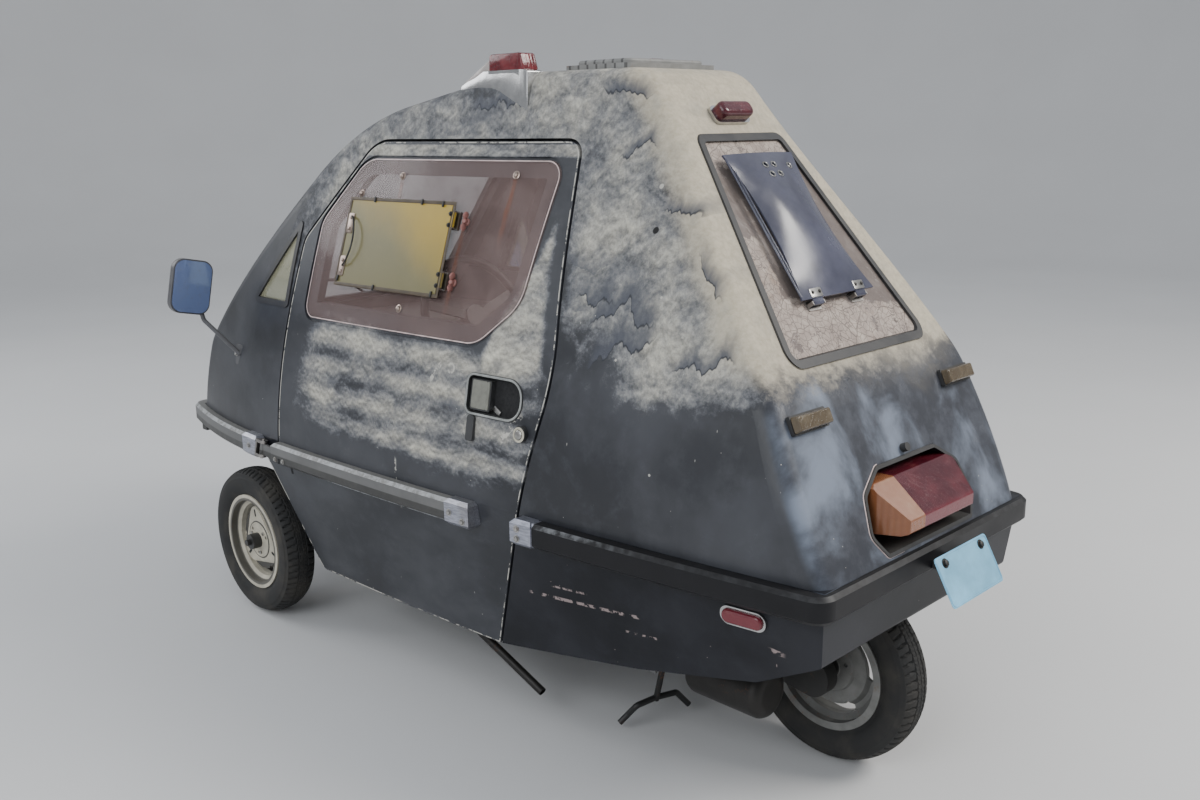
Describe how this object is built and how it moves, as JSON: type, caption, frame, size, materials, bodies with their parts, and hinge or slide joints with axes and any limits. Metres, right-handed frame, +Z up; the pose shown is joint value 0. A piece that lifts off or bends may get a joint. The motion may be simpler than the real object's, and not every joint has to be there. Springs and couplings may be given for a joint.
{
  "type": "three-wheeled microcar",
  "caption": "Narrow enclosed microcar with a moulded body, full-height doors, two steered front wheels, one driven rear wheel, opening window flaps and a prop stand.",
  "frame": {"origin": "on the ground below the middle of the overall length and width", "axes": "+X to the car's left, +Y to the rear along the length, +Z up"},
  "size_m": [1.261, 2.3656, 1.5153],
  "materials": {
    "amber_lens": "faded",
    "chassis_steel": "matt",
    "clear_lens": "gloss",
    "dash_plastic": "matt",
    "door_rail": "scuffed",
    "door_shell": "faded, chalky",
    "door_window": "scratched, tinted",
    "engine_metal": "dull",
    "exhaust_steel": "rusty",
    "faded_lens": "faded",
    "gasket": "matt",
    "handle_plastic": "matt",
    "knuckle_steel": "dull",
    "lamp_bezel": "satin",
    "lamp_housing": "matt",
    "lower_shell": "faded",
    "mirror_glass": "clean",
    "mirror_shell": "matt",
    "nose_rail": "dull",
    "plate_bracket": "matt",
    "plate_sheet": "faded",
    "quarter_glass": "clear",
    "rear_band": "scuffed",
    "rear_flap_sheet": "gloss",
    "rear_glass": "weathered, tinted",
    "red_lens": "gloss",
    "rim": "chipped",
    "rim_rear": "chipped",
    "seat_cover": "worn",
    "side_flap_sheet": "yellowed",
    "small_hinge": "dull",
    "stand_steel": "chipped",
    "steering_plastic": "satin",
    "tyre": "matt",
    "upper_shell": "faded, chalky",
    "vent_plastic": "matt",
    "windscreen_glass": "clear",
    "wiper_metal": "matt"
  },
  "bodies": {
    "body": {"amber_lenses": "amber_lens", "clear_lenses": "clear_lens", "dashboard": "dash_plastic", "drive_arm": "chassis_steel", "engine": "engine_metal", "exhaust": "exhaust_steel", "front_axle": "chassis_steel", "hinge_brackets": "small_hinge", "indicator_lenses": "faded_lens", "lamp_bezels": "lamp_bezel", "lower_body": "lower_shell", "mirror_glass": "mirror_glass", "mirrors": "mirror_shell", "nose_rail": "nose_rail", "number_plate": "plate_sheet", "parcel_shelf": "lower_shell", "plate_bracket": "plate_bracket", "quarter_panes": "quarter_glass", "rear_band": "rear_band", "rear_window": "rear_glass", "red_lenses": "red_lens", "roof_vent": "vent_plastic", "seat_back": "seat_cover", "seat_cushion": "seat_cover", "seat_frame": "chassis_steel", "tail_lamp_housings": "lamp_housing", "upper_body": "upper_shell", "window_gaskets": "gasket", "windscreen": "windscreen_glass", "wiper": "wiper_metal"},
    "door_left": {"door_left": "door_shell", "window_left": "door_window", "door_rail_left": "door_rail", "handle_left": "handle_plastic", "side_flap_hinges": "small_hinge"},
    "door_right": {"door_right": "door_shell", "window_right": "door_window", "door_rail_right": "door_rail", "handle_right": "handle_plastic"},
    "side_flap": {"side_flap": "side_flap_sheet"},
    "rear_flap": {"rear_flap": "rear_flap_sheet"},
    "stand": {"stand": "stand_steel"},
    "steering_wheel": {"steering_wheel": "steering_plastic"},
    "knuckle_left": {"knuckle_left": "knuckle_steel"},
    "knuckle_right": {"knuckle_right": "knuckle_steel"},
    "wheel_front_left": {"tyre_front_left": "tyre", "rim_front_left": "rim"},
    "wheel_front_right": {"tyre_front_right": "tyre", "rim_front_right": "rim"},
    "wheel_rear": {"tyre_rear": "tyre", "rim_rear": "rim_rear"}
  },
  "joints": [
    {"name": "door_left_hinge", "type": "hinge", "parent": "body", "child": "door_left", "pos_m": [0.514, -0.618, 0.545], "axis": [0.1725, -0.0863, -0.9812], "range_deg": [0, 65]},
    {"name": "door_right_hinge", "type": "hinge", "parent": "body", "child": "door_right", "pos_m": [-0.514, -0.618, 0.545], "axis": [0.1725, 0.0863, 0.9812], "range_deg": [0, 65]},
    {"name": "side_flap_hinge", "type": "hinge", "parent": "door_left", "child": "side_flap", "pos_m": [0.38455, 0.05322, 1.0872], "axis": [-0.3193, -0.0171, 0.9475], "range_deg": [0, 110]},
    {"name": "rear_flap_hinge", "type": "hinge", "parent": "body", "child": "rear_flap", "pos_m": [0, 0.84045, 1.00895], "axis": [-1, 0, 0], "range_deg": [0, 100]},
    {"name": "stand_hinge", "type": "hinge", "parent": "body", "child": "stand", "pos_m": [0.18, 0.53, 0.174], "axis": [1, 0, 0], "range_deg": [0, 55]},
    {"name": "steer_left", "type": "hinge", "parent": "body", "child": "knuckle_left", "pos_m": [0.372, -0.773, 0.211], "axis": [0, 0, 1], "range_deg": [-30, 30]},
    {"name": "steer_right", "type": "hinge", "parent": "body", "child": "knuckle_right", "pos_m": [-0.372, -0.773, 0.211], "axis": [0, 0, 1], "range_deg": [-30.5, 30.5]},
    {"name": "steering_wheel_turn", "type": "hinge", "parent": "body", "child": "steering_wheel", "pos_m": [0, -0.33368, 0.84482], "axis": [0, 0.93, 0.3677], "range_deg": [-185, 185]},
    {"name": "front_left_wheel_spin", "type": "hinge", "parent": "knuckle_left", "child": "wheel_front_left", "pos_m": [0.454, -0.773, 0.211], "axis": [1, 0, 0], "continuous": true},
    {"name": "front_right_wheel_spin", "type": "hinge", "parent": "knuckle_right", "child": "wheel_front_right", "pos_m": [-0.454, -0.773, 0.211], "axis": [1, 0, 0], "continuous": true},
    {"name": "rear_wheel_spin", "type": "hinge", "parent": "body", "child": "wheel_rear", "pos_m": [0, 0.862, 0.211], "axis": [1, 0, 0], "continuous": true}
  ],
  "couplings": [
    {"joint": "steer_right", "follows": "steer_left", "ratio": 1},
    {"joint": "steering_wheel_turn", "follows": "steer_left", "ratio": 6}
  ]
}
